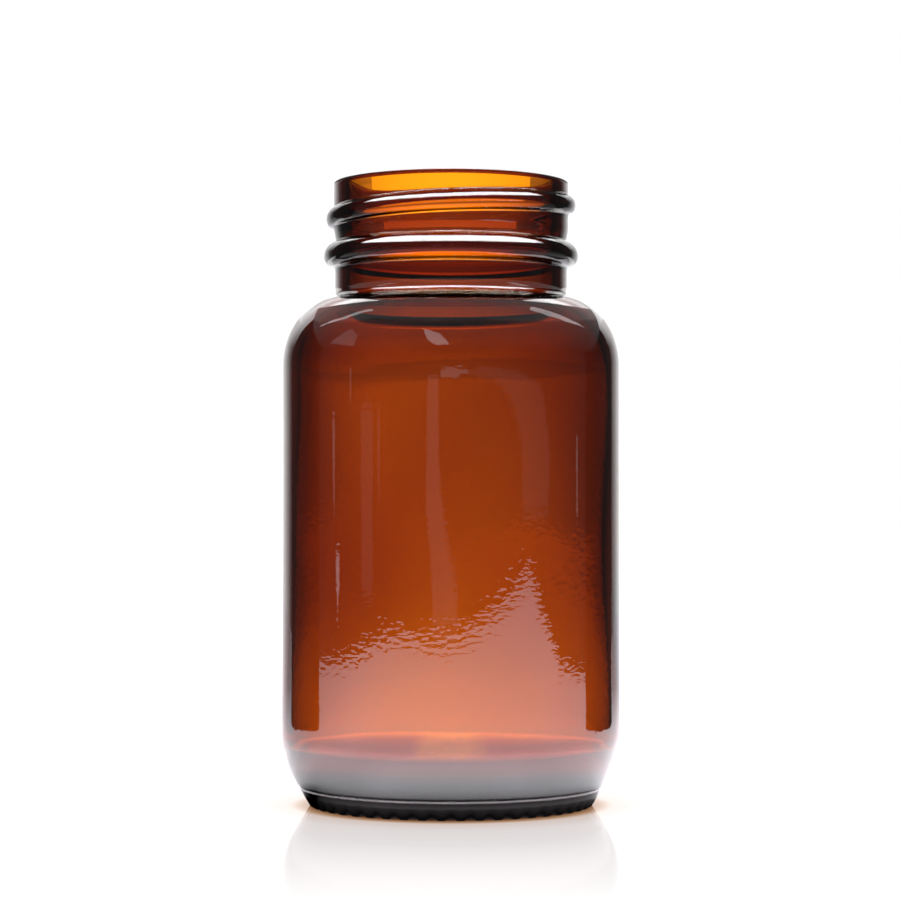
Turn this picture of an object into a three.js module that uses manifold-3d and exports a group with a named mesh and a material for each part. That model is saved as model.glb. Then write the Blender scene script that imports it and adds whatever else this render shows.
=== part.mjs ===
// Wide-mouth glass jar with a continuous-thread neck finish of 38 mm, moulded in one piece.
// Millimetres, +Z up. The origin is the centre of the face that the jar stands on.
import * as THREE from 'three';
import * as BufferGeometryUtils from 'three/addons/utils/BufferGeometryUtils.js';
import Module from 'manifold-3d';

const wasm = await Module();
wasm.setup();

// Driving dimensions
const jarHeight = 93;
const bodyRadius = 25.3;
const bodyWall = 2.2;
const neckRadius = 17.7;
const boreRadius = 15.3;
const facesPerTurn = 48;

// Shoulder: a quarter ellipse outside and a smaller one inside
const shoulderBaseHeight = 65.5;
const shoulderRise = 10.2;
const shoulderRun = 8.3;
const innerShoulderBaseHeight = 64.5;
const innerShoulderRise = 9.2;
const innerFilletRadius = 1.5;

// Neck: collar under the bead, bead, waist and threaded band
const collarRadius = 17.5;
const collarFilletRadius = 0.6;
const waistRadius = 17.4;
const beadHeight = 81.95;
const beadRadius = 19.2;
const beadHalfWidth = 1.95;
const rimRounding = 0.6;

// Thread: one rounded right-hand ridge that fades in at its start and out above the bead
const threadPitch = 4.3;
const threadHeight = 1.1;
const threadHalfWidth = 1.45;
const threadRoot = 0.6;
const threadStartAngle = 50 * Math.PI / 180;
const threadStartHeight = 90.1;
const threadTurns = 1.125;
const threadFullFrom = 0.1;
const threadFullTo = 0.9;

// Base: push-up, bearing ring, insweep, sharp parting line of the mould's bottom plate, heel
const pushUp = 1.6;
const bearingInnerRadius = 18.2;
const bearingOuterRadius = 20.7;
const insweepRadius = 0.6;
const partingRadius = 22.6;
const partingHeight = 2.8;
const heelTopHeight = 10.6;

// Inside of the base: the wall thins downwards, then a small bend leads to a cone and the floor
const lowerWallThinning = 0.45;
const thinningTopHeight = 38;
const thinningEndHeight = 11;
const innerHeelTopHeight = 9.4;
const innerBendRadius = 1;
const innerFloorRadius = 18;
const floorHeight = 5;
const floorCrown = 0.5;

// Knurl: shallow notches across the outer edge of the bearing ring
const knurlCount = 48;
const knurlDepth = 0.4;
const knurlToolRadius = 0.85;
const knurlInnerRadius = 19.6;
const knurlToolSides = 10;

/** Points along an elliptical arc, angles in degrees from +radius towards +height. */
function arc(centreRadius, centreHeight, radiusAcross, radiusUp, fromDegrees, toDegrees, steps) {
  const points = [];
  for (let i = 0; i <= steps; i += 1) {
    const angle = (fromDegrees + ((toDegrees - fromDegrees) * i) / steps) * Math.PI / 180;
    points.push(new THREE.Vector2(
      centreRadius + radiusAcross * Math.cos(angle),
      centreHeight + radiusUp * Math.sin(angle),
    ));
  }
  return points;
}

/** The underside: a domed push-up from the axis out to the flat bearing ring. */
function undersideProfile() {
  const points = [];
  const steps = 4;
  for (let i = 0; i <= steps; i += 1) {
    const radius = (bearingInnerRadius * i) / steps;
    const share = radius / bearingInnerRadius;
    points.push(new THREE.Vector2(radius, pushUp * (1 - share * share)));
  }
  points.push(new THREE.Vector2(bearingOuterRadius, 0));
  return points;
}

/** Insweep, parting line and heel, which leans out to the straight side wall. */
function heelProfile() {
  const across = bodyRadius - partingRadius;
  const up = heelTopHeight - partingHeight;
  const halfSweep = 2 * Math.atan2(across, up);
  const radius = up / Math.sin(halfSweep);
  const sweepDegrees = THREE.MathUtils.radToDeg(halfSweep);
  return [
    ...arc(bearingOuterRadius, insweepRadius, insweepRadius, insweepRadius, -62, -35, 1),
    ...arc(bodyRadius - radius, heelTopHeight, radius, radius, -sweepDegrees, 0, 5),
  ];
}

/** Side wall end, shoulder, and the fillet into the collar. */
function shoulderProfile() {
  const shoulderTop = shoulderBaseHeight + shoulderRise;
  const shoulderInnerRadius = bodyRadius - shoulderRun;
  const filletCentreRadius = collarRadius + collarFilletRadius;
  return [
    ...arc(shoulderInnerRadius, shoulderBaseHeight, shoulderRun, shoulderRise, 0, 78, 7),
    ...arc(filletCentreRadius, shoulderTop + 0.25, collarFilletRadius, collarFilletRadius, 240, 180, 2),
  ];
}

/** Bead under the thread and the waist above it. */
function beadProfile() {
  const beadRun = beadRadius - collarRadius;
  return [
    ...arc(collarRadius, beadHeight, beadRun, beadHalfWidth, -90, 85, 7),
    new THREE.Vector2(waistRadius, beadHeight + beadHalfWidth + 0.55),
    new THREE.Vector2(neckRadius, beadHeight + beadHalfWidth + 2),
  ];
}

/** Rounded rim with a flat sealing land between its two roundings. */
function rimProfile() {
  const roundingHeight = jarHeight - rimRounding;
  return [
    ...arc(neckRadius - rimRounding, roundingHeight, rimRounding, rimRounding, 0, 90, 3),
    ...arc(boreRadius + rimRounding, roundingHeight, rimRounding, rimRounding, 90, 180, 3),
  ];
}

/** The lower side wall from inside, which thins downwards in an even curve. */
function lowerWallProfile(innerRadius) {
  const points = [];
  const steps = 4;
  for (let i = 0; i <= steps; i += 1) {
    const share = i / steps;
    points.push(new THREE.Vector2(
      innerRadius + lowerWallThinning * THREE.MathUtils.smoothstep(share, 0, 1),
      THREE.MathUtils.lerp(thinningTopHeight, thinningEndHeight, share),
    ));
  }
  return points;
}

/** The inside, from the bore down over shoulder, wall, bend and cone to the floor's centre. */
function insideProfile() {
  const innerRadius = bodyRadius - bodyWall;
  const filletTop = innerShoulderBaseHeight + innerShoulderRise + innerFilletRadius;
  const ellipseRadius = boreRadius + innerFilletRadius;
  return [
    ...arc(ellipseRadius, filletTop, innerFilletRadius, innerFilletRadius, 180, 270, 3),
    ...arc(ellipseRadius, innerShoulderBaseHeight, innerRadius - ellipseRadius,
      innerShoulderRise, 72, 0, 6),
    ...lowerWallProfile(innerRadius),
    ...arc(innerRadius + lowerWallThinning - innerBendRadius, innerHeelTopHeight, innerBendRadius,
      innerBendRadius, 0, -50, 2),
    new THREE.Vector2(innerFloorRadius, floorHeight),
    new THREE.Vector2(0, floorHeight + floorCrown),
  ];
}

/** Turns a geometry into a manifold solid, keeping only its merged positions. */
function toSolid(geometry) {
  const bare = geometry.clone();
  bare.deleteAttribute('normal');
  bare.deleteAttribute('uv');
  const merged = BufferGeometryUtils.mergeVertices(bare, 1e-4);
  return new wasm.Manifold(new wasm.Mesh({
    numProp: 3,
    vertProperties: new Float32Array(merged.attributes.position.array),
    triVerts: new Uint32Array(merged.index.array),
  }));
}

/** Turns a manifold solid back into a three.js geometry. */
function toGeometry(solid) {
  const mesh = solid.getMesh();
  const geometry = new THREE.BufferGeometry();
  geometry.setAttribute('position', new THREE.BufferAttribute(mesh.vertProperties, 3));
  geometry.setIndex(new THREE.BufferAttribute(mesh.triVerts, 1));
  geometry.computeVertexNormals();
  return geometry;
}

/** The jar's wall and floor: one closed profile turned round the axis. */
function turnedBody() {
  const profile = [
    ...undersideProfile(),
    ...heelProfile(),
    ...shoulderProfile(),
    ...beadProfile(),
    ...rimProfile(),
    ...insideProfile(),
  ];
  const geometry = new THREE.LatheGeometry(profile, facesPerTurn);
  geometry.rotateX(Math.PI / 2);
  return toSolid(geometry);
}

/** How much of its full height the thread has, a number of turns after its start. */
function threadShare(turns) {
  const fadeIn = THREE.MathUtils.smoothstep(turns, 0, threadFullFrom);
  const fadeOut = THREE.MathUtils.smoothstep(turns, threadFullTo, threadTurns);
  return fadeIn * (1 - fadeOut);
}

/** The thread: a straight half-ellipse bar, bent round the neck as a helix. */
function threadRidge() {
  const section = new THREE.Shape();
  section.moveTo(-threadRoot, -threadHalfWidth);
  section.lineTo(0, -threadHalfWidth);
  section.absellipse(0, 0, threadHeight, threadHalfWidth, -Math.PI / 2, Math.PI / 2, false, 0);
  section.lineTo(-threadRoot, threadHalfWidth);
  const geometry = new THREE.ExtrudeGeometry(section, {
    depth: threadTurns,
    steps: threadTurns * facesPerTurn,
    curveSegments: 3,
    bevelEnabled: false,
  });
  const position = geometry.attributes.position;
  const sunk = 0.15;
  for (let i = 0; i < position.count; i += 1) {
    const proud = position.getX(i);
    const turns = position.getZ(i);
    const angle = threadStartAngle - 2 * Math.PI * turns;
    const share = threadShare(turns);
    const radius = neckRadius + (proud > 0 ? proud * share : proud) - sunk * (1 - share);
    const height = threadStartHeight - threadPitch * turns + position.getY(i);
    position.setXYZ(i, radius * Math.cos(angle), radius * Math.sin(angle), height);
  }
  return toSolid(geometry);
}

/** One round bar that cuts a knurl notch, lying along a radius. */
function knurlTool(index) {
  const length = partingRadius - knurlInnerRadius;
  const geometry = new THREE.CylinderGeometry(knurlToolRadius, knurlToolRadius, length, knurlToolSides);
  geometry.rotateZ(-Math.PI / 2);
  geometry.translate(knurlInnerRadius + length / 2, 0, knurlDepth - knurlToolRadius);
  geometry.rotateZ((2 * Math.PI * index) / knurlCount);
  return toSolid(geometry);
}

/** Wall, thread and knurl joined into the single glass body. */
function glassJar() {
  let solid = turnedBody().add(threadRidge());
  for (let index = 0; index < knurlCount; index += 1) {
    solid = solid.subtract(knurlTool(index));
  }
  const amberGlass = new THREE.MeshStandardMaterial({
    color: 0x7a3209,
    roughness: 0.05,
    metalness: 0,
  });
  const mesh = new THREE.Mesh(toGeometry(solid), amberGlass);
  mesh.name = 'glass_jar';
  return mesh;
}

const jar = new THREE.Group();
jar.add(glassJar());

export default jar;
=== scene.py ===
"""A wide-mouth amber glass jar with a screw neck, standing on a white studio table."""
import math

import bpy
import numpy as np
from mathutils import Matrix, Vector


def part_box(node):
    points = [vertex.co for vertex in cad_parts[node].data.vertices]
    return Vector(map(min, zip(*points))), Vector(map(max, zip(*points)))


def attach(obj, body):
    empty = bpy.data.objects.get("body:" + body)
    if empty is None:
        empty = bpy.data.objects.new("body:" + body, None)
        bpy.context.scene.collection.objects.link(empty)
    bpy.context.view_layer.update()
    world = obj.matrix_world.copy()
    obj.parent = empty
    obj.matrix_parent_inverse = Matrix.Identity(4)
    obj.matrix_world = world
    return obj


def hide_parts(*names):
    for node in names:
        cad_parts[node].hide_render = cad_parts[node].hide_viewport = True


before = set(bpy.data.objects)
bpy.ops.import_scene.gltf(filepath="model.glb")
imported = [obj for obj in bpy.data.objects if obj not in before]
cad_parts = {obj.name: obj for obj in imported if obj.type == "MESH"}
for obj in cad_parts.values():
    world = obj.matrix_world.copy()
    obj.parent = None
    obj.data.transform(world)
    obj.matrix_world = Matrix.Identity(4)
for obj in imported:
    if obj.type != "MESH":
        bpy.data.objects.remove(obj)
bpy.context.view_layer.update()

# The jar is drawn in millimetres on a profile 93 high, then scaled to the CAD node's own box.
DRAWN_HEIGHT = 93.0
LOW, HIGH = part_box("glass_jar")
UNIT = (HIGH[2] - LOW[2]) / DRAWN_HEIGHT
AXIS = Vector(((LOW[0] + HIGH[0]) / 2, (LOW[1] + HIGH[1]) / 2, LOW[2]))
SEGMENTS = 288

# Outside
BODY_RADIUS = (HIGH[0] - LOW[0]) / 2 / UNIT
NECK_RADIUS = 17.7
COLLAR_RADIUS = 17.5
WAIST_RADIUS = 17.4
SHOULDER_BASE = 65.5
SHOULDER_RISE = 10.2
SHOULDER_RUN = 8.3
HEEL_TOP = 10.6
PARTING_RADIUS = 22.6
PARTING_HEIGHT = 2.8
BEARING_OUTER = 20.7
BEARING_INNER = 18.2
PUSH_UP = 1.6
DOME_EDGE_GAP = 0.5
DOME_EDGE_HEIGHT = 0.3
BEARING_EDGE = (0.35, 0.35)
INSWEEP = (0.6, 0.6)
INSWEEP_END = (21.19, 0.26)
LIP_FOOT = (22.45, 2.4)
# The parting line's lip, as steps from the parting radius and height
PARTING_LIP = [(-0.07, -0.25), (0.08, -0.12), (0.10, 0.0), (0.06, 0.15)]
COLLAR_FILLET = (0.7, 0.7)
COLLAR_FOOT = 0.6
WAIST_FOOT = (80.0, 83.0)
WAIST_TOP = (83.8, 86.0)
RIM_ROUNDING = 0.6

# Inside
BORE_RADIUS = 15.3
INNER_RADIUS = 23.1
INNER_SHOULDER_BASE = 64.5
INNER_SHOULDER_RISE = 9.2
INNER_FILLET = 1.5
FLOOR_HEIGHT = 5.0
FLOOR_CROWN = 0.5
INNER_HEEL_TOP = 9.4
INNER_BEND = 1.0
INNER_FLOOR_RADIUS = 18.0
WALL_THINNING = 0.45
THINNING_HEIGHTS = (12, 38)
UNEVEN_INSIDE = 0.16
UNEVEN_OUTSIDE = 0.02

# Thread, bead and knurl
THREAD_PITCH = 4.3
THREAD_HEIGHT = 1.1
THREAD_HALF_WIDTH = 1.45
THREAD_START_ANGLE = math.radians(50)
THREAD_START_HEIGHT = 90.1
THREAD_TURNS = 1.125
THREAD_FADE_IN = (0, 0.1)
THREAD_FADE_OUT = (0.9, THREAD_TURNS)
BEAD_MIDDLE = 81.95
BEAD_HEIGHT = 1.75
BEAD_HALF_WIDTH = 1.95
ROOT_ROUNDING = 0.3
KNURLS = 48
KNURL_DEPTH = 0.4
KNURL_RUN = (19.5, 20.2)
KNURL_FADE = (0.45, 1.2)


def smooth(value, start, end):
    """0 before start, 1 after end, and an S-curve between them."""
    t = np.clip((np.asarray(value, float) - start) / (end - start), 0, 1)
    return t * t * (3 - 2 * t)


def arc(centre, radii, from_degrees, to_degrees, steps):
    """Points of an elliptical arc, without its last one."""
    angles = np.radians(np.linspace(from_degrees, to_degrees, steps + 1)[:-1])
    return [(centre[0] + radii[0] * math.cos(a), centre[1] + radii[1] * math.sin(a)) for a in angles]


def line(start, end, steps):
    """Evenly spaced points from start to end, without the last one."""
    shares = np.linspace(0, 1, steps + 1)[:-1]
    return [(start[0] + (end[0] - start[0]) * s, start[1] + (end[1] - start[1]) * s) for s in shares]


def ridge(distance, height, half_width):
    """How far a ridge of elliptical section, with rounded roots, stands out of the neck."""
    share = np.abs(distance) / half_width
    bulge = height * np.sqrt(np.clip(1 - share ** 2, 0, 1)) - 4 * half_width * np.clip(share - 1, 0, None)
    return (bulge + np.sqrt(bulge ** 2 + ROOT_ROUNDING ** 2)) / 2


def neck_radius(height):
    """Plain outside radius of the neck, without bead and thread."""
    waist = NECK_RADIUS - (NECK_RADIUS - WAIST_RADIUS) * (1 - smooth(height, *WAIST_TOP))
    return COLLAR_RADIUS + (waist - COLLAR_RADIUS) * smooth(height, *WAIST_FOOT)


def underside_points():
    """The domed push-up, its rounded edge and the flat bearing ring."""
    dome_radius = BEARING_INNER - DOME_EDGE_GAP
    dome_rise = PUSH_UP - DOME_EDGE_HEIGHT
    shares = np.linspace(0, 1, 10)[1:-1]
    dome = [(dome_radius * t, DOME_EDGE_HEIGHT + dome_rise * (1 - t * t)) for t in shares]
    edge = arc((BEARING_INNER, BEARING_EDGE[1]), BEARING_EDGE, 190, 270, 4)
    return dome + edge + line((BEARING_INNER, 0), (BEARING_OUTER, 0), 8)


def heel_points():
    """Insweep, the parting line of the mould's bottom plate, and the heel."""
    across = BODY_RADIUS - PARTING_RADIUS
    up = HEEL_TOP - PARTING_HEIGHT
    sweep = 2 * math.atan2(across, up)
    radius = up / math.sin(sweep)
    insweep = arc((BEARING_OUTER, INSWEEP[1]), INSWEEP, -90, -35, 5)
    lower = line(INSWEEP_END, LIP_FOOT, 4)
    parting = [(PARTING_RADIUS + step, PARTING_HEIGHT + lift) for step, lift in PARTING_LIP]
    heel = arc((BODY_RADIUS - radius, HEEL_TOP), (radius, radius), -math.degrees(sweep) + 1, 0, 16)
    return insweep + lower + parting + heel


def body_points():
    """The straight side wall and the shoulder's quarter ellipse."""
    wall = line((BODY_RADIUS, HEEL_TOP), (BODY_RADIUS, SHOULDER_BASE), 16)
    centre = (BODY_RADIUS - SHOULDER_RUN, SHOULDER_BASE)
    shoulder = arc(centre, (SHOULDER_RUN, SHOULDER_RISE), 0, 80, 24)
    return wall + shoulder


def neck_points():
    """Collar fillet and the neck's outside up to the rim, without bead and thread."""
    shoulder_top = SHOULDER_BASE + SHOULDER_RISE
    foot = shoulder_top + COLLAR_FOOT
    fillet = arc((COLLAR_RADIUS + COLLAR_FILLET[0], foot), COLLAR_FILLET, 255, 180, 6)
    heights = np.linspace(foot, DRAWN_HEIGHT - RIM_ROUNDING, 146)[:-1]
    return fillet + [(float(neck_radius(z)), float(z)) for z in heights]


def rim_points():
    """The two roundings of the rim with the flat sealing land between them."""
    top = DRAWN_HEIGHT - RIM_ROUNDING
    rounding = (RIM_ROUNDING, RIM_ROUNDING)
    outer = arc((NECK_RADIUS - RIM_ROUNDING, top), rounding, 0, 90, 7)
    land = line((NECK_RADIUS - RIM_ROUNDING, DRAWN_HEIGHT), (BORE_RADIUS + RIM_ROUNDING, DRAWN_HEIGHT), 3)
    inner = arc((BORE_RADIUS + RIM_ROUNDING, top), rounding, 90, 180, 7)
    return outer + land + inner


def inside_points():
    """Bore, inner shoulder, inner wall, inner heel and floor, going down to the axis."""
    fillet_top = INNER_SHOULDER_BASE + INNER_SHOULDER_RISE + INNER_FILLET
    ellipse_radius = BORE_RADIUS + INNER_FILLET
    bore = line((BORE_RADIUS, DRAWN_HEIGHT - RIM_ROUNDING), (BORE_RADIUS, fillet_top), 10)
    fillet = arc((ellipse_radius, fillet_top), (INNER_FILLET, INNER_FILLET), 180, 262, 7)
    shoulder = arc((ellipse_radius, INNER_SHOULDER_BASE),
                   (INNER_RADIUS - ellipse_radius, INNER_SHOULDER_RISE), 84, 0, 16)
    wall = line((INNER_RADIUS, INNER_SHOULDER_BASE), (INNER_RADIUS, INNER_HEEL_TOP), 24)
    bend = arc((INNER_RADIUS - INNER_BEND, INNER_HEEL_TOP), (INNER_BEND, INNER_BEND), 0, -50, 8)
    cone_top = (INNER_RADIUS - INNER_BEND * 0.36, INNER_HEEL_TOP - INNER_BEND * 0.77)
    cone = line(cone_top, (INNER_FLOOR_RADIUS, FLOOR_HEIGHT), 6)
    shares = np.linspace(1, 0, 12)[:-1]
    floor = [(INNER_FLOOR_RADIUS * t, FLOOR_HEIGHT + FLOOR_CROWN * (1 - t * t)) for t in shares]
    return bore + fillet + shoulder + wall + bend + cone + floor


def thread_height(angle, height):
    """How far the thread stands out of the neck at an angle and a height; it fades in and out."""
    first_turn = np.mod(THREAD_START_ANGLE - angle, 2 * np.pi) / (2 * np.pi)
    proud = np.zeros_like(height)
    for wrap in range(2):
        turns = first_turn + wrap
        middle = THREAD_START_HEIGHT - THREAD_PITCH * turns
        share = smooth(turns, *THREAD_FADE_IN) * (1 - smooth(turns, *THREAD_FADE_OUT))
        proud = np.maximum(proud, share * ridge(height - middle, THREAD_HEIGHT, THREAD_HALF_WIDTH))
    return proud


def knurl_rise(angle, radius):
    """How far the notches across the bearing ring's outer edge are cut up into it."""
    wave = np.cos(KNURLS * angle)
    return KNURL_DEPTH * smooth(wave, -0.2, 0.9) * smooth(radius, *KNURL_RUN)


def wave_field(angle, height, seed, count, tallest):
    """A smooth random field round the jar: a sum of waves that close on themselves."""
    random = np.random.default_rng(seed)
    field = np.zeros_like(angle + height)
    for _ in range(count):
        around = random.integers(0, 7)
        along = random.uniform(0.02, tallest)
        phase = random.uniform(0, 2 * np.pi)
        field += random.uniform(0.4, 1) * np.cos(around * angle + along * height + phase)
    return field / math.sqrt(count)


def jar_rings():
    """Every ring of the jar's surface as points, from the base's centre to the floor's centre."""
    outside = underside_points() + heel_points() + body_points() + neck_points()
    profile = np.array(outside + rim_points() + inside_points())
    radius = profile[:, 0:1]
    height = profile[:, 1:2]
    angle = np.linspace(0, 2 * np.pi, SEGMENTS, endpoint=False)[None, :]
    row = np.arange(len(profile))[:, None]
    is_outside = row < len(outside)
    ring_radius = radius + 0 * angle
    ring_height = height + 0 * angle

    on_neck = is_outside & (height > SHOULDER_BASE + SHOULDER_RISE)
    bead = ridge(ring_height - BEAD_MIDDLE, BEAD_HEIGHT, BEAD_HALF_WIDTH)
    thread = thread_height(angle + 0 * radius, ring_height)
    ring_radius += np.where(on_neck, np.maximum(bead, thread) + 0.3 * np.minimum(bead, thread), 0)

    on_base = is_outside & (height < KNURL_FADE[1]) & (radius > 19)
    ring_height += np.where(on_base, knurl_rise(angle, radius) * (1 - smooth(height, *KNURL_FADE)), 0)

    inside = row >= len(outside) + len(rim_points())
    settle = smooth(height, 8, 18) * (1 - smooth(height, 60, 72))
    uneven = UNEVEN_INSIDE * wave_field(angle, height, 7, 9, 0.16)
    thinning = WALL_THINNING * (1 - smooth(height, *THINNING_HEIGHTS)) * smooth(radius, 20, INNER_RADIUS)
    ring_radius += np.where(inside, uneven * settle + thinning, 0)
    outer_settle = smooth(height, 12, 20) * (1 - smooth(height, 55, 65))
    # Taken 1.2 lower, so that no wave stands out of the plain body radius
    outer_wave = UNEVEN_OUTSIDE * (wave_field(angle, height, 3, 6, 0.1) - 1.2)
    ring_radius += np.where(is_outside, outer_wave * outer_settle, 0)
    return ring_radius, ring_height, angle


def jar_mesh():
    """The whole jar as one closed mesh: a grid of rings with a fan at each end."""
    radius, height, angle = jar_rings()
    rows, columns = radius.shape
    x = AXIS.x + radius * np.cos(angle) * UNIT
    y = AXIS.y + radius * np.sin(angle) * UNIT
    z = AXIS.z + height * UNIT
    vertices = np.stack([x, y, z], axis=-1).reshape(-1, 3).tolist()
    vertices.append((AXIS.x, AXIS.y, AXIS.z + PUSH_UP * UNIT))
    vertices.append((AXIS.x, AXIS.y, AXIS.z + (FLOOR_HEIGHT + FLOOR_CROWN) * UNIT))
    bottom_pole = rows * columns
    floor_pole = bottom_pole + 1
    last = (rows - 1) * columns
    faces = []
    for i in range(columns):
        j = (i + 1) % columns
        faces.append((bottom_pole, j, i))
        faces.append((floor_pole, last + i, last + j))
        for row in range(rows - 1):
            low = row * columns
            high = low + columns
            faces.append((low + i, low + j, high + j, high + i))
    mesh = bpy.data.meshes.new("glass")
    mesh.from_pydata(vertices, [], faces)
    mesh.polygons.foreach_set("use_smooth", [True] * len(mesh.polygons))
    mesh.validate()
    return mesh


def new_tree(owner):
    """An empty node tree on a material or world."""
    owner.use_nodes = True
    owner.node_tree.nodes.clear()
    return owner.node_tree


def add(tree, kind, **inputs):
    """A new node with some of its inputs set; a socket given as a value is linked."""
    node = tree.nodes.new(kind)
    for name, value in inputs.items():
        socket = node.inputs[int(name[1:])] if name[0] == "_" else node.inputs[name.replace("_", " ")]
        if isinstance(value, bpy.types.NodeSocket):
            tree.links.new(value, socket)
        else:
            socket.default_value = value
    return node


def maths(tree, operation, first, second=0.0, third=0.0):
    """The result of one math node."""
    node = add(tree, "ShaderNodeMath", _0=first, _1=second, _2=third)
    node.operation = operation
    return node.outputs[0]


def ramp(tree, value, stops):
    """A piecewise-linear curve through (value, height) stops, exact between them."""
    total = stops[0][1]
    for (start, low), (end, high) in zip(stops, stops[1:]):
        step = add(tree, "ShaderNodeMapRange", Value=value, From_Min=start, From_Max=end,
                   To_Min=0.0, To_Max=high - low)
        total = maths(tree, "ADD", step.outputs[0], total)
    return total


def colour_ramp(tree, value, stops):
    """A colour that runs through stops of (value, colour)."""
    low = stops[0][0]
    high = stops[-1][0]
    share = add(tree, "ShaderNodeMapRange", Value=value, From_Min=low, From_Max=high)
    node = add(tree, "ShaderNodeValToRGB", Fac=share.outputs[0])
    elements = node.color_ramp.elements
    for _ in stops[2:]:
        elements.new(0.5)
    for element, (place, _) in zip(elements, stops):
        element.position = (place - low) / (high - low)
    for element, (_, colour) in zip(elements, stops):
        element.color = tuple(colour) + (1,)
    return node.outputs[0]


def choose(tree, factor, when_zero, when_one):
    """A mix of two numbers."""
    node = tree.nodes.new("ShaderNodeMix")
    for index, value in ((0, factor), (2, when_zero), (3, when_one)):
        socket = node.inputs[index]
        if isinstance(value, bpy.types.NodeSocket):
            tree.links.new(value, socket)
        else:
            socket.default_value = value
    return node.outputs[0]


# Absorption per metre of the amber glass in red, green and blue light
ABSORPTION = (518.0, 1000.0, 2850.0)
ABSORPTION_DENSITY = 3000.0
GLASS_INDEX = 1.52
RIPPLE_SCALE = 950.0
RIPPLE_STRENGTH = 0.021
RIPPLE_DEPTH = 0.0004


def amber_glass():
    """Clear gloss surface with a faint orange-peel ripple, over a light-absorbing amber body."""
    material = bpy.data.materials.new("amber_glass")
    tree = new_tree(material)
    place = add(tree, "ShaderNodeTexCoord").outputs["Object"]
    flattened = add(tree, "ShaderNodeMapping", Vector=place, Scale=(1.0, 1.0, 1.6)).outputs[0]
    peel = add(tree, "ShaderNodeTexNoise", Vector=flattened, Scale=RIPPLE_SCALE, Detail=1.0, Roughness=0.5)
    height = add(tree, "ShaderNodeSeparateXYZ", Vector=place).outputs[2]
    on_wall = ramp(tree, height, [(0.010, 0.0), (0.016, 1.0), (0.050, 1.0), (0.066, 0.2), (0.072, 0.0)])
    strength = maths(tree, "MULTIPLY", on_wall, RIPPLE_STRENGTH)
    bump = add(tree, "ShaderNodeBump", Strength=strength, Distance=RIPPLE_DEPTH, Height=peel.outputs[0])
    glass = add(tree, "ShaderNodeBsdfPrincipled", Base_Color=(1, 1, 1, 1), Roughness=0.0, IOR=GLASS_INDEX,
                Transmission_Weight=1.0, Normal=bump.outputs[0])
    colour = tuple(1 - a / ABSORPTION_DENSITY for a in ABSORPTION) + (1,)
    body = add(tree, "ShaderNodeVolumeAbsorption", Color=colour, Density=ABSORPTION_DENSITY)
    output = tree.nodes.new("ShaderNodeOutputMaterial")
    tree.links.new(glass.outputs[0], output.inputs["Surface"])
    tree.links.new(body.outputs[0], output.inputs["Volume"])
    return material


def make_jar():
    """The jar's fine mesh, which stands for the CAD node."""
    jar = bpy.data.objects.new("jar_glass", jar_mesh())
    bpy.context.collection.objects.link(jar)
    jar.data.materials.append(amber_glass())
    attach(jar, "root")
    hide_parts("glass_jar")
    return jar


def make_stage_mesh(name, points, faces, material):
    """A flat stage piece: floor, light or card."""
    mesh = bpy.data.meshes.new(name)
    mesh.from_pydata(points, [], faces)
    piece = bpy.data.objects.new(name, mesh)
    bpy.context.collection.objects.link(piece)
    piece.data.materials.append(material)
    return piece


def make_plane(name, corners, material):
    """A stage piece of one polygon."""
    return make_stage_mesh(name, corners, [tuple(range(len(corners)))], material)


def see_only(plane, camera=False, diffuse=False, glossy=False, transmission=False, shadow=False):
    """Which kinds of ray meet a stage piece."""
    plane.visible_camera = camera
    plane.visible_diffuse = diffuse
    plane.visible_glossy = glossy
    plane.visible_transmission = transmission
    plane.visible_shadow = shadow
    plane.visible_volume_scatter = False


def floor_material():
    """White acrylic that glows by itself, with a painted contact shadow at the jar's foot and a painted warm
    glow of light through the amber glass there, both set by distance from the axis, and a soft mirror image.
    """
    material = bpy.data.materials.new("table_white")
    tree = new_tree(material)
    # Painted shade and painted amber light: dark and warm at the jar's foot, fading to plain white 92 mm
    # from the axis
    painted_shade_colour = colour_ramp(tree, distance_from_axis(tree), [
        (0.020, (0.10, 0.03, 0.01)), (0.0222, (0.42, 0.24, 0.13)), (0.024, (0.66, 0.55, 0.50)),
        (0.030, (0.72, 0.67, 0.66)), (0.045, (0.76, 0.73, 0.73)), (0.070, (0.90, 0.88, 0.87)),
        (0.092, (1.0, 1.0, 1.0))])
    glow = add(tree, "ShaderNodeEmission", Color=painted_shade_colour)
    mirror = add(tree, "ShaderNodeBsdfGlossy", Color=(0.15, 0.15, 0.15, 1), Roughness=0.06)
    both = tree.nodes.new("ShaderNodeAddShader")
    tree.links.new(glow.outputs[0], both.inputs[0])
    tree.links.new(mirror.outputs[0], both.inputs[1])
    output = tree.nodes.new("ShaderNodeOutputMaterial")
    tree.links.new(both.outputs[0], output.inputs["Surface"])
    return material


def glow_material(name, strength, tint=None):
    """An emitting card; strength is a number, or a function that builds it from the tree, like the tint."""
    material = bpy.data.materials.new(name)
    tree = new_tree(material)
    level = strength(tree) if callable(strength) else strength
    glow = add(tree, "ShaderNodeEmission", Strength=level)
    if tint:
        tree.links.new(tint(tree), glow.inputs["Color"])
    output = tree.nodes.new("ShaderNodeOutputMaterial")
    tree.links.new(glow.outputs[0], output.inputs["Surface"])
    return material


def distance_from_axis(tree):
    """How far a point of a stage piece lies from the jar's axis, in metres."""
    place = add(tree, "ShaderNodeTexCoord").outputs["Object"]
    flat = add(tree, "ShaderNodeVectorMath", _0=place, _1=(1.0, 1.0, 0.0))
    flat.operation = "MULTIPLY"
    distance = add(tree, "ShaderNodeVectorMath", _0=flat.outputs[0])
    distance.operation = "LENGTH"
    return distance.outputs["Value"]


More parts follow.
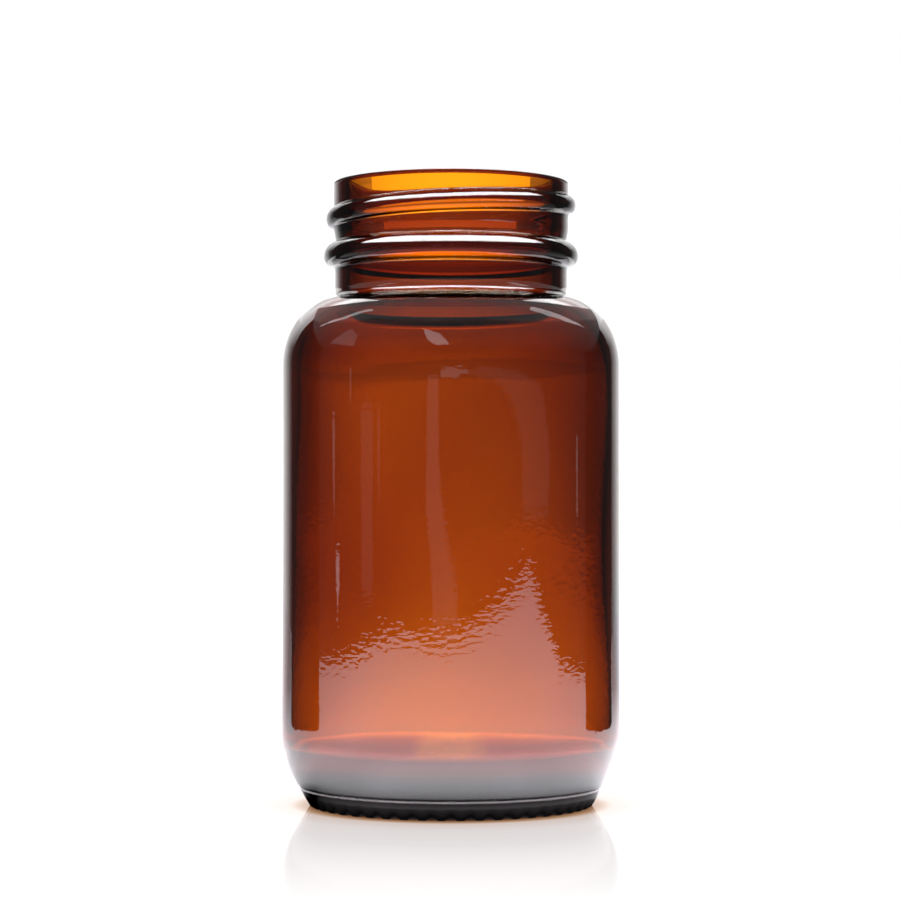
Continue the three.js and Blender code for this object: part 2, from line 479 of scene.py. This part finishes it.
def degrees_from_front(tree):
    """How far round the jar a point lies from its front, in degrees."""
    place = add(tree, "ShaderNodeTexCoord").outputs["Object"]
    parts = add(tree, "ShaderNodeSeparateXYZ", Vector=place)
    backwards = maths(tree, "MULTIPLY", parts.outputs[1], -1.0)
    turn = maths(tree, "ARCTAN2", parts.outputs[0], backwards)
    return maths(tree, "DEGREES", maths(tree, "ABSOLUTE", turn))


def panel_level(tree, degrees_from_back):
    """Brightness of the white background as the glass mirrors it, by the angle from straight behind."""
    return ramp(tree, degrees_from_back, [(0, 3.5), (17, 1.6), (28, 1.15), (35, 0.7), (41, 0.2),
                                          (46, 0.12), (180, 0.12)])


def table_glow(tree):
    """Brightness of the lit table as the glass mirrors it: shaded close to the jar, more so beside it.

    Far behind the jar the table runs into the background without a step.
    """
    around = degrees_from_front(tree)
    from_axis = distance_from_axis(tree)
    place = add(tree, "ShaderNodeTexCoord").outputs["Object"]
    sideways = add(tree, "ShaderNodeSeparateXYZ", Vector=place).outputs[0]
    side_share = ramp(tree, sideways, [(-0.01, 1.0), (0.01, 0.65)])
    in_front = ramp(tree, from_axis, [
        (0.0215, 0.06), (0.0228, 0.35), (0.0245, 3.1), (0.0266, 5.2), (0.0300, 6.5),
        (0.0350, 7.1), (0.0435, 6.6), (0.0560, 6.1), (0.0670, 5.5), (0.0810, 4.9),
        (0.1600, 4.1), (0.2500, 3.6), (0.4000, 3.1), (1.0, 2.4)])
    turned_away = ramp(tree, around, [(60, 0.0), (70, 0.08), (83, 0.24), (91, 0.35), (98, 0.45),
                                      (119, 0.58), (180, 0.6)])
    beside = ramp(tree, around, [(30, 0.0), (45, 0.38), (60, 0.73), (75, 1.0)])
    near = ramp(tree, from_axis, [(0.0235, 1.0), (0.0247, 0.9), (0.028, 0.63), (0.033, 0.5), (0.040, 0.32),
                                  (0.050, 0.17), (0.064, 0.0)])
    level = in_front
    for drop in (turned_away, maths(tree, "MULTIPLY", beside, near)):
        kept = maths(tree, "SUBTRACT", 1.0, maths(tree, "MULTIPLY", drop, side_share))
        level = maths(tree, "MULTIPLY", level, kept)
    panel = panel_level(tree, maths(tree, "SUBTRACT", 180.0, around))
    far = ramp(tree, from_axis, [(0.08, 0.0), (0.28, 1.0)])
    behind = ramp(tree, around, [(110, 0.0), (150, 1.0)])
    return choose(tree, maths(tree, "MULTIPLY", far, behind), level, panel)


def table_tint(tree):
    """Light that has come through the jar warms the table in front of it; right at its foot it is cool."""
    warm = ramp(tree, distance_from_axis(tree), [
        (0.0220, 0.1), (0.024, 0.0), (0.028, -0.04), (0.031, 0.06), (0.036, 0.28),
        (0.050, 0.34), (0.10, 0.2), (0.15, 0.0)])
    in_front = ramp(tree, degrees_from_front(tree), [(75, 1.0), (110, 0.1)])
    red = maths(tree, "MULTIPLY_ADD", warm, in_front, 1.0)
    return add(tree, "ShaderNodeCombineColor", Red=red, Green=0.965, Blue=1.015).outputs[0]


def through_level(tree, degrees_from_back):
    """Brightness of the open table as seen through the glass, by the angle from straight behind."""
    return ramp(tree, degrees_from_back, [(0, 3.5), (14, 3.3), (22, 2.2), (31, 1.3), (40, 0.35), (75, 0.25),
                                          (95, 2.0), (180, 2.5)])


def far_table_glow(tree):
    """Brightness of the table as seen through the glass, dark under the jar itself."""
    from_axis = distance_from_axis(tree)
    level = ramp(tree, from_axis, [(0.0215, 0.3), (0.026, 1.0), (0.035, 1.7), (0.055, 2.0),
                                   (0.080, 1.5), (0.10, 1.3), (0.20, 1.15), (0.5, 1.0)])
    from_back = maths(tree, "SUBTRACT", 180.0, degrees_from_front(tree))
    close = ramp(tree, from_axis, [(0.10, 1.0), (0.15, 0.0)])
    around = choose(tree, close, through_level(tree, from_back), 3.0)
    return maths(tree, "MULTIPLY", level, around)


# Outline of the lit table and of the bright strip that runs off it to the front right
TABLE_EDGE = [(-0.39, 1.5), (-0.39, 0.06), (-0.40, -0.37), (-0.28, -0.48), (-0.04, -0.52), (0.34, -0.65),
              (1.12, -0.82), (0.50, -0.19), (0.38, -0.10), (0.33, 0.08), (0.33, 1.5)]


# Half the side of the floor, and how far the lit tables lie under it
REACH = 4.0
TABLE_DROP = 0.0005


def square(height):
    """Corners of a level square round the jar."""
    return [(x * REACH, y * REACH, height) for x, y in ((-1, -1), (1, -1), (1, 1), (-1, 1))]


def make_table():
    """The floor that the camera sees, and the lit table that the glass reflects and lets through."""
    floor = make_plane("floor", square(LOW[2]), floor_material())
    see_only(floor, camera=True, diffuse=True, shadow=True)
    under = LOW[2] - TABLE_DROP
    mirrored = make_plane("lit_table", [(x, y, under) for x, y in TABLE_EDGE],
                          glow_material("lit_table", table_glow, table_tint))
    see_only(mirrored, glossy=True)
    through = make_plane("lit_table_far", square(under), glow_material("lit_table_far", far_table_glow))
    see_only(through, transmission=True)


# The black cards: distance from the jar's axis, lower edge, and the span of each one in degrees from the
# front; the corners below are rounded over a share of the width and a height
FLAG_DISTANCE = 0.135
FLAG_BOTTOM = 0.0015
FLAG_TOP = 0.5
FLAG_SPANS = {"left": (-91, -127), "right": (94, 129)}
FLAG_ROUNDING_SHARE = 0.16
FLAG_ROUNDING_HEIGHT = 0.00095
BLACK_LEVEL = 0.06


def around_axis(distance, degrees, height=0.0):
    """A point at a distance from the jar's axis, turned by degrees from the front."""
    angle = math.radians(degrees)
    return Vector((distance * math.sin(angle), -distance * math.cos(angle), height))


def make_flags():
    """Two black cards beside the jar, seen only as reflections in it."""
    black = glow_material("black_card", BLACK_LEVEL)
    centre = (FLAG_ROUNDING_SHARE, FLAG_BOTTOM + FLAG_ROUNDING_HEIGHT)
    # An arc leaves out its last point, so this one ends at 270 degrees
    rounding = arc(centre, (FLAG_ROUNDING_SHARE, FLAG_ROUNDING_HEIGHT), 180, 285, 7)
    mirrored = [(1 - share, height) for share, height in rounding[::-1]]
    outline = [(0, FLAG_TOP)] + rounding + mirrored + [(1, FLAG_TOP)]
    for side, span in FLAG_SPANS.items():
        start, end = [around_axis(FLAG_DISTANCE, degrees) for degrees in span]
        corners = [start.lerp(end, share) + Vector((0, 0, height)) for share, height in outline]
        see_only(make_plane("black_card_" + side, corners, black), glossy=True)


def collar_glow(tree):
    """Underside of the collar card: pale close to the neck with a cloudy edge, darker outwards."""
    place = add(tree, "ShaderNodeTexCoord").outputs["Object"]
    cloud = add(tree, "ShaderNodeTexNoise", Vector=place, Scale=90.0, Detail=2.0)
    wavy = maths(tree, "MULTIPLY_ADD", cloud.outputs[0], 0.006, distance_from_axis(tree))
    return ramp(tree, wavy, [(0.0310, 0.55), (0.0320, 0.32), (0.045, 0.22), (0.075, 0.12)])


# Height of the cards round the neck, and where the crescent card runs
COLLAR_CARD_HEIGHT = 0.0775
CRESCENT_INNER_RADIUS = 0.024
CRESCENT_INNER_SHIFT = 0.0035
CRESCENT_INNER_SPAN = (-72, 87)
CRESCENT_OUTER_RADIUS = 0.075
CRESCENT_OUTER_SPAN = (95, -80)
LIGHT_GAP = 0.0002
# Light strips and windows in the collar card: brightness, and outline in millimetres from the jar's axis
CARD_LIGHTS = {
    "strip_left": (3.5, [(-31, -8.2), (-25, -13.2), (-21, -16.2), (-14, -19.2),
                         (-14, -20), (-21, -17.2), (-25, -14.4)]),
    "strip_right": (3.5, [(31, -8.2), (25, -12.8), (19, -16.2), (14, -18.2),
                          (14, -19.6), (19, -18.2), (25, -14.6)]),
    "window_front": (2.6, [(-7.3, -32.4), (-3.3, -37), (-0.5, -53.6), (-7.1, -55.7), (-9, -45)]),
    "window_side": (0.8, [(-46.6, -16.7), (-24.7, -21.4), (-28.2, -26.1), (-46, -33)]),
}

# The light behind the rim: an upright strip
RIM_LIGHT_WIDTH = 0.032
RIM_LIGHT_DISTANCE = 0.04
RIM_LIGHT_HEIGHTS = (0.0955, 0.102)
RIM_LIGHT_LEVEL = 5.4


def make_rim_light():
    """A small light behind the jar that shines through the neck's glass just under the rim."""
    low, high = RIM_LIGHT_HEIGHTS
    half = RIM_LIGHT_WIDTH / 2
    outline = ((-half, low), (half, low), (half, high), (-half, high))
    corners = [(x, RIM_LIGHT_DISTANCE, AXIS.z + z) for x, z in outline]
    light = make_plane("rim_light", corners, glow_material("rim_light", RIM_LIGHT_LEVEL))
    see_only(light, transmission=True)


# The small cards beside the neck: radii of their edges, and degrees from the front of their corners
WING_RADII = (0.0205, 0.032)
WING_CORNERS = {"left": range(-150, -94, 11), "right": range(95, 151, 11)}
WING_LEVEL = 2.0


def make_side_wings():
    """Small bright cards beside the neck that lighten the ends of thread and bead from below."""
    height = AXIS.z + COLLAR_CARD_HEIGHT
    near, far = WING_RADII
    for side, corners in WING_CORNERS.items():
        outline = [around_axis(near, degrees, height) for degrees in corners]
        outline += [around_axis(far, degrees, height) for degrees in corners[::-1]]
        see_only(make_plane("wing_" + side, outline, glow_material("wing_" + side, WING_LEVEL)), glossy=True)


def make_collar_card():
    """A crescent card over the front shoulder that keeps the overhead light off it, with lights in it."""
    height = AXIS.z + COLLAR_CARD_HEIGHT
    shift = Vector((0, CRESCENT_INNER_SHIFT, 0))
    inner = [around_axis(CRESCENT_INNER_RADIUS, degrees, height) + shift
             for degrees in np.linspace(*CRESCENT_INNER_SPAN, 20)]
    outer = [around_axis(CRESCENT_OUTER_RADIUS, degrees, height)
             for degrees in np.linspace(*CRESCENT_OUTER_SPAN, 19)]
    card = make_plane("collar_card", inner + outer, glow_material("collar_card", collar_glow))
    see_only(card, glossy=True)
    for name, (level, outline) in CARD_LIGHTS.items():
        corners = [(x / 1000, y / 1000, height - LIGHT_GAP) for x, y in outline]
        see_only(make_plane(name, corners, glow_material(name, level)), glossy=True)


# The ring over the rim
RIM_CARD_HEIGHT = 0.0942
RIM_CARD_RADII = (0.0164, 0.0205)
RIM_CARD_LEVEL = 0.1


def make_rim_card():
    """A small black ring over the rim that keeps the overhead light off its outer edge."""
    height = AXIS.z + RIM_CARD_HEIGHT
    turns = range(0, 360, 10)
    points = [around_axis(radius, degrees, height) for radius in RIM_CARD_RADII for degrees in turns]
    count = len(turns)
    faces = [(i, (i + 1) % count, count + (i + 1) % count, count + i) for i in range(count)]
    ring = make_stage_mesh("rim_card", points, faces, glow_material("rim_card", RIM_CARD_LEVEL))
    see_only(ring, glossy=True)


# Faint bright shapes of the studio that the body mirrors: brightness, and corners as
# (degrees round from the front, height in millimetres) on an upright cylinder in front of the jar
STUDIO_SHAPES = {
    "band": (0.5, [(-15, 84), (-8, 84), (-8, 55), (-5.4, 42), (-1.4, 30), (4, 18), (4, 8),
                   (-11.5, 8), (-12.2, 18), (-13.6, 30), (-16.3, 42), (-16.3, 55)]),
    "hook": (0.9, [(-7, 90), (-6.5, 84), (3, 83), (8, 86), (12, 88), (8, 91), (0, 92)]),
    "arch": (0.32, [(11, 86), (25, 83), (34, 78), (41, 72), (46, 64), (47, 55), (47, 40), (66, 40), (68, 60),
                    (62, 78), (45, 88), (20, 92), (12, 90)]),
    "haze": (0.35, [(-61, 72), (-52, 72), (-52, 17), (-60, 17)]),
    "thread_a": (0.8, [(-84.5, 69), (-82, 70), (-82, 44), (-83.5, 44)]),
    "thread_b": (2.0, [(-81.5, 30), (-77.5, 30), (-79, 11), (-80, 11)]),
    "thread_c": (0.6, [(-70, 90), (-68, 90), (-68.5, 73), (-69.5, 73)]),
    "thread_d": (0.4, [(-48.8, 71), (-47, 71), (-47, 45), (-48, 45)]),
    "thread_e": (0.9, [(90.5, 65), (92, 65), (92, 41), (90.5, 41)]),
}
STUDIO_SHAPE_DISTANCE = 0.45


def make_studio_shapes():
    """Upright cards for the faint streaks in the body."""
    for name, (level, outline) in STUDIO_SHAPES.items():
        corners = [around_axis(STUDIO_SHAPE_DISTANCE, degrees, AXIS.z + height / 1000)
                   for degrees, height in outline]
        see_only(make_plane("shape_" + name, corners, glow_material("shape_" + name, level)), glossy=True)


# The background seen through the glass is brightest a little to the left of straight behind
BRIGHTEST_DEGREES = 3.0


def make_world():
    """White to the camera; to the glass, a studio that is bright behind and overhead and dim in front."""
    world = bpy.data.worlds.new("studio")
    bpy.context.scene.world = world
    tree = new_tree(world)
    direction = add(tree, "ShaderNodeTexCoord").outputs["Generated"]
    parts = add(tree, "ShaderNodeSeparateXYZ", Vector=direction)
    x, y, z = parts.outputs
    turned = maths(tree, "DEGREES", maths(tree, "ARCTAN2", x, y))
    degrees = maths(tree, "ABSOLUTE", maths(tree, "ADD", turned, BRIGHTEST_DEGREES))
    tilt = maths(tree, "DEGREES", maths(tree, "ARCSINE", z))
    through_high = ramp(tree, tilt, [(3.2, 1.0), (3.8, 0.75), (5.2, 0.7), (5.7, 0.62), (6.1, 0.85),
                                     (9, 0.85), (11, 0.7), (17, 0.7), (21, 2.2), (32, 2.2), (40, 0.3)])
    through_all = maths(tree, "MULTIPLY", panel_level(tree, degrees), through_high)
    from_back = maths(tree, "DEGREES", maths(tree, "ARCCOSINE", y))
    overhead = maths(tree, "MULTIPLY", ramp(tree, tilt, [(29, 0), (36, 1)]),
                     ramp(tree, from_back, [(42, 0), (50, 5), (62, 6), (75, 22)]))
    rear_top = maths(tree, "MULTIPLY", ramp(tree, tilt, [(10, 0), (24, 1)]),
                     ramp(tree, from_back, [(24, 0), (34, 1.8), (52, 1.8), (60, 0)]))
    behind = maths(tree, "ADD", panel_level(tree, from_back), rear_top)
    mirrored_all = maths(tree, "ADD", behind, overhead)
    path = add(tree, "ShaderNodeLightPath")
    seen = choose(tree, path.outputs["Is Transmission Ray"], mirrored_all, through_all)
    level = choose(tree, path.outputs["Is Camera Ray"], seen, 1.0)
    background = add(tree, "ShaderNodeBackground", Color=(1, 1, 1, 1), Strength=level)
    output = tree.nodes.new("ShaderNodeOutputWorld")
    tree.links.new(background.outputs[0], output.inputs["Surface"])


def make_camera():
    """A long lens at half the jar's height, a hair to the left, looking slightly up."""
    distance = 0.385
    eye_height = 0.045
    sideways = -0.00015
    tilt_up = math.radians(1.18)
    data = bpy.data.cameras.new("camera")
    data.lens = 102.8
    data.sensor_width = 36.0
    camera = bpy.data.objects.new("camera", data)
    camera.location = (AXIS.x + sideways, AXIS.y - distance, AXIS.z + eye_height)
    camera.rotation_euler = (math.pi / 2 + tilt_up, 0, 0)
    bpy.context.collection.objects.link(camera)
    bpy.context.scene.camera = camera


def set_view():
    """Plain colour handling and enough bounces for thick glass."""
    scene = bpy.context.scene
    scene.view_settings.view_transform = "Standard"
    scene.cycles.max_bounces = 24
    scene.cycles.transmission_bounces = 24
    scene.cycles.glossy_bounces = 12
    scene.cycles.transparent_max_bounces = 16
    scene.cycles.caustics_reflective = True
    scene.cycles.caustics_refractive = True


make_camera()
make_jar()
make_table()
make_rim_light()
make_flags()
make_side_wings()
make_collar_card()
make_rim_card()
make_studio_shapes()
make_world()
set_view()
